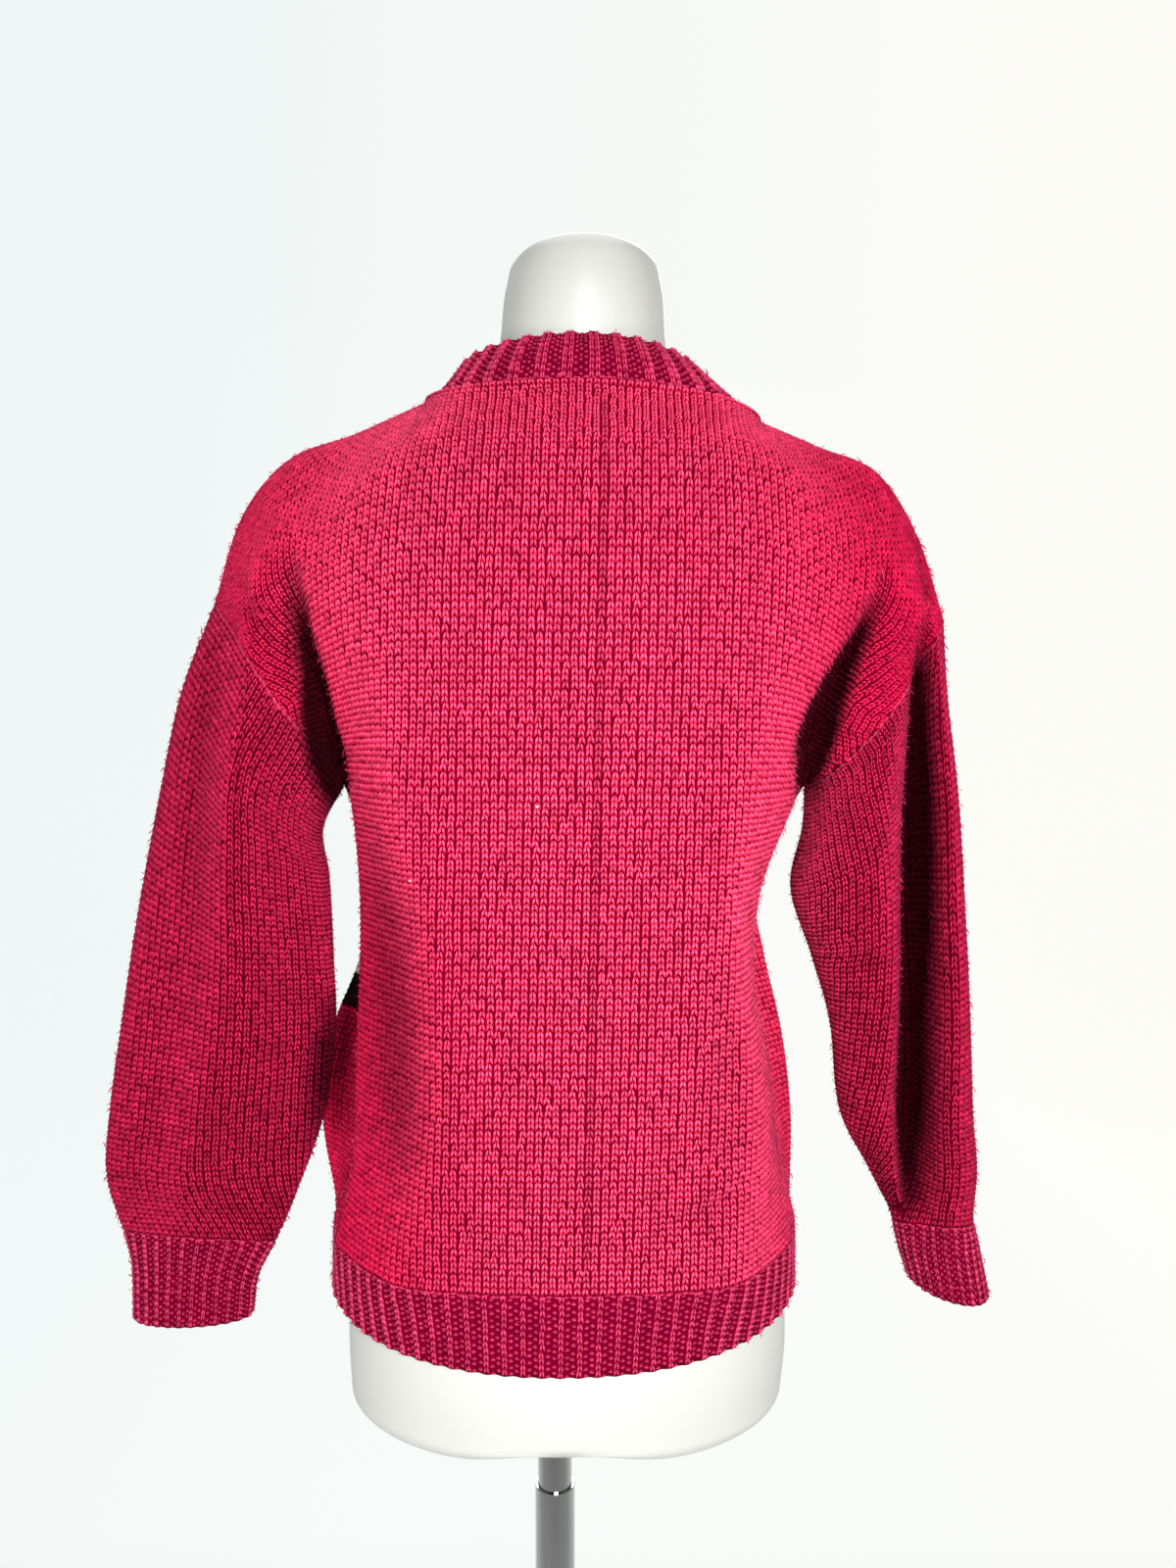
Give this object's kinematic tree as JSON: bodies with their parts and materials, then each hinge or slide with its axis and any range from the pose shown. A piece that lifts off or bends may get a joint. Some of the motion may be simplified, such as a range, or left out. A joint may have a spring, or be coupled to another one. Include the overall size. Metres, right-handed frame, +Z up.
{
  "type": "pullover sweater on a dress form with stand",
  "caption": "Raspberry hand-knit pullover with ribbed neckband, cuffs and hem, seen from behind on a cream limbless dress form with a height-adjustable chrome stand.",
  "frame": {"origin": "middle of the stand's round base, on the floor", "axes": "+Z up, the sweater's back faces -Y, the wearer's left side is -X"},
  "size_m": [0.6493, 0.35, 1.492],
  "materials": {
    "knit": "stockinette wool",
    "rib": "ribbed wool",
    "shell": "smooth satin",
    "tube": "polished"
  },
  "bodies": {
    "stand": {"base": "tube", "pole_lower": "tube"},
    "mast": {"pole_upper": "tube"},
    "figure": {"form": "shell", "back": "knit", "front": "knit", "sleeve_left": "knit", "sleeve_right": "knit", "cuff_left": "rib", "cuff_right": "rib", "hem_back": "rib", "hem_front": "rib", "neckband": "rib"}
  },
  "joints": [
    {"name": "height", "type": "slide", "parent": "stand", "child": "mast", "axis": [0, 0, 1], "range_m": [-0.04, 0.2]},
    {"name": "turn", "type": "hinge", "parent": "mast", "child": "figure", "pos_m": [0, 0, 0.7], "axis": [0, 0, 1], "continuous": true}
  ]
}
